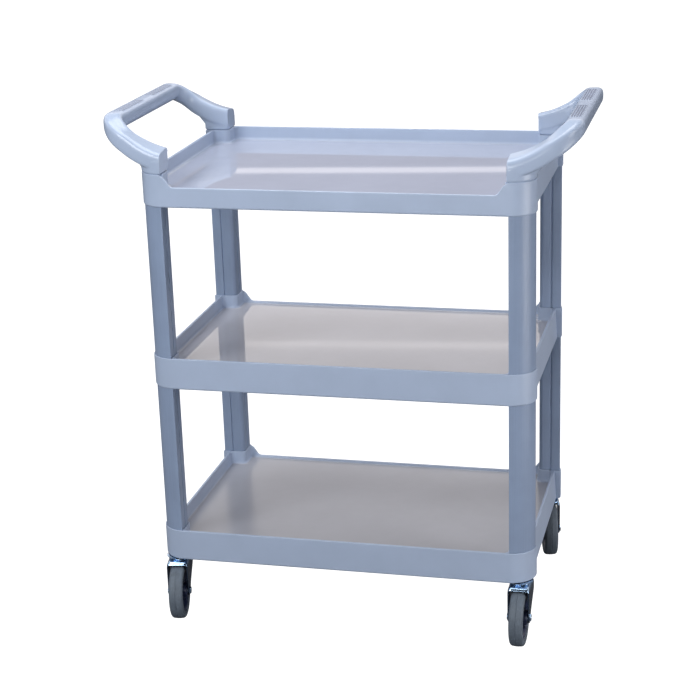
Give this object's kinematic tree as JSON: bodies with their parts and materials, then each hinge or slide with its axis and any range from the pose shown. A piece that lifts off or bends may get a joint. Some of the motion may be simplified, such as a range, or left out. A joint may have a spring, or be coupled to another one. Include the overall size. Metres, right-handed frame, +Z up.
{
  "type": "service trolley",
  "caption": "Plastic food service trolley with shelves on corner posts, raised push handles at both ends and swivel casters.",
  "frame": {"origin": "on the floor, under the middle of the overall box of the trolley with its casters trailing forwards", "axes": "+Z up, X along the trolley from the left push handle to the right one, -Y towards the front, where the top shelf's lip is low"},
  "size_m": [0.8028, 0.4743, 0.893],
  "materials": {
    "shelf_plastic": "pale blue-grey moulded plastic, soft gloss",
    "post_plastic": "blue-grey extruded plastic, satin",
    "socket_plastic": "dark moulded insert",
    "zinc_steel": "bright zinc plated steel",
    "chrome": "bright plated pressed steel",
    "wheel_core": "very dark blue moulded core",
    "tyre_rubber": "grey solid rubber tread"
  },
  "bodies": {
    "trolley_body": {"top_shelf": "shelf_plastic", "middle_shelf": "shelf_plastic", "bottom_shelf": "shelf_plastic", "left_handle": "shelf_plastic", "right_handle": "shelf_plastic", "front_left_upper_post": "post_plastic", "front_right_upper_post": "post_plastic", "rear_left_upper_post": "post_plastic", "rear_right_upper_post": "post_plastic", "front_left_lower_post": "post_plastic", "front_right_lower_post": "post_plastic", "rear_left_lower_post": "post_plastic", "rear_right_lower_post": "post_plastic", "front_left_handle_screw": "zinc_steel", "front_left_stem_socket": "socket_plastic", "front_left_caster_stem": "zinc_steel", "front_right_handle_screw": "zinc_steel", "front_right_stem_socket": "socket_plastic", "front_right_caster_stem": "zinc_steel", "rear_left_handle_screw": "zinc_steel", "rear_left_stem_socket": "socket_plastic", "rear_left_caster_stem": "zinc_steel", "rear_right_handle_screw": "zinc_steel", "rear_right_stem_socket": "socket_plastic", "rear_right_caster_stem": "zinc_steel"},
    "front_left_fork": {"front_left_caster_fork": "chrome", "front_left_ball_race": "zinc_steel", "front_left_axle_bolt": "zinc_steel", "front_left_axle_nut": "zinc_steel", "front_left_axle_sleeve": "zinc_steel"},
    "front_left_wheel": {"front_left_wheel_core": "wheel_core", "front_left_tyre": "tyre_rubber"},
    "front_right_fork": {"front_right_caster_fork": "chrome", "front_right_ball_race": "zinc_steel", "front_right_axle_bolt": "zinc_steel", "front_right_axle_nut": "zinc_steel", "front_right_axle_sleeve": "zinc_steel"},
    "front_right_wheel": {"front_right_wheel_core": "wheel_core", "front_right_tyre": "tyre_rubber"},
    "rear_left_fork": {"rear_left_caster_fork": "chrome", "rear_left_ball_race": "zinc_steel", "rear_left_axle_bolt": "zinc_steel", "rear_left_axle_nut": "zinc_steel", "rear_left_axle_sleeve": "zinc_steel"},
    "rear_left_wheel": {"rear_left_wheel_core": "wheel_core", "rear_left_tyre": "tyre_rubber"},
    "rear_right_fork": {"rear_right_caster_fork": "chrome", "rear_right_ball_race": "zinc_steel", "rear_right_axle_bolt": "zinc_steel", "rear_right_axle_nut": "zinc_steel", "rear_right_axle_sleeve": "zinc_steel"},
    "rear_right_wheel": {"rear_right_wheel_core": "wheel_core", "rear_right_tyre": "tyre_rubber"}
  },
  "joints": [
    {"name": "front_left_swivel", "type": "hinge", "parent": "trolley_body", "child": "front_left_fork", "pos_m": [-0.305, -0.167, 0.1095], "axis": [0, 0, 1], "continuous": true},
    {"name": "front_left_wheel_spin", "type": "hinge", "parent": "front_left_fork", "child": "front_left_wheel", "pos_m": [-0.30153, -0.1867, 0.05], "axis": [0.9848, 0.1736, 0], "continuous": true},
    {"name": "front_right_swivel", "type": "hinge", "parent": "trolley_body", "child": "front_right_fork", "pos_m": [0.305, -0.167, 0.1095], "axis": [0, 0, 1], "continuous": true},
    {"name": "front_right_wheel_spin", "type": "hinge", "parent": "front_right_fork", "child": "front_right_wheel", "pos_m": [0.305, -0.187, 0.05], "axis": [1, 0, 0], "continuous": true},
    {"name": "rear_left_swivel", "type": "hinge", "parent": "trolley_body", "child": "rear_left_fork", "pos_m": [-0.305, 0.207, 0.1095], "axis": [0, 0, 1], "continuous": true},
    {"name": "rear_left_wheel_spin", "type": "hinge", "parent": "rear_left_fork", "child": "rear_left_wheel", "pos_m": [-0.305, 0.187, 0.05], "axis": [1, 0, 0], "continuous": true},
    {"name": "rear_right_swivel", "type": "hinge", "parent": "trolley_body", "child": "rear_right_fork", "pos_m": [0.305, 0.207, 0.1095], "axis": [0, 0, 1], "continuous": true},
    {"name": "rear_right_wheel_spin", "type": "hinge", "parent": "rear_right_fork", "child": "rear_right_wheel", "pos_m": [0.3095, 0.18751, 0.05], "axis": [0.9744, 0.225, 0], "continuous": true}
  ]
}
